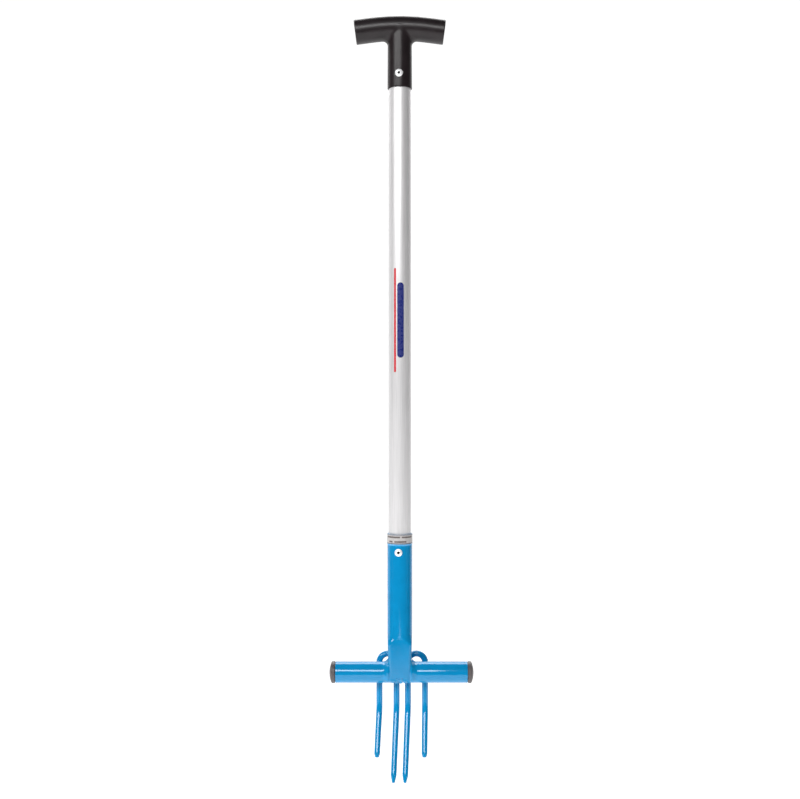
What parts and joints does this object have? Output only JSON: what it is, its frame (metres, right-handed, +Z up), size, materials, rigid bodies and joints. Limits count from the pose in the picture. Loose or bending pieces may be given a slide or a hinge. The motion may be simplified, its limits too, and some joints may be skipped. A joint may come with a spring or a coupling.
{
  "type": "long-handled hand aerator",
  "caption": "Long-handled hand aerator and weeding fork: black T-grip, round aluminium shaft, blue steel socket, round foot bar with end caps, and solid tines bent forward.",
  "frame": {"origin": "on the shaft's axis, level with the crown of the crossbar's underside, where the tool hangs from a two-prong hook", "axes": "+Z up along the shaft towards the grip, +X to the right along the crossbar and the foot bar, -Y the side the tines bend towards"},
  "size_m": [0.1856, 0.0409, 0.983],
  "materials": {
    "grip_plastic": "satin moulded",
    "shaft_aluminium": "satin anodised",
    "blue_coat": "gloss powder coat on steel",
    "cap_plastic": "satin",
    "rivet_aluminium": "bright",
    "mandrel_steel": "broken end, dull",
    "label_film": "printed film",
    "stripe_blue": "printed film",
    "stripe_red": "printed film"
  },
  "bodies": {
    "root": {"grip_handle": "grip_plastic", "grip_rivet": "rivet_aluminium", "grip_rivet_mandrel": "mandrel_steel", "shaft_tube": "shaft_aluminium", "decal_stripe_blue": "stripe_blue", "decal_stripe_red": "stripe_red", "label_band": "label_film", "socket_tube": "blue_coat", "socket_rivet": "rivet_aluminium", "socket_rivet_mandrel": "mandrel_steel", "foot_bar": "blue_coat", "end_cap_left": "cap_plastic", "end_cap_right": "cap_plastic", "tine_rod_left": "blue_coat", "tine_rod_right": "blue_coat", "weld_socket_bar": "blue_coat", "weld_tongue": "blue_coat", "weld_tines_left": "blue_coat", "weld_tines_right": "blue_coat"}
  },
  "joints": []
}
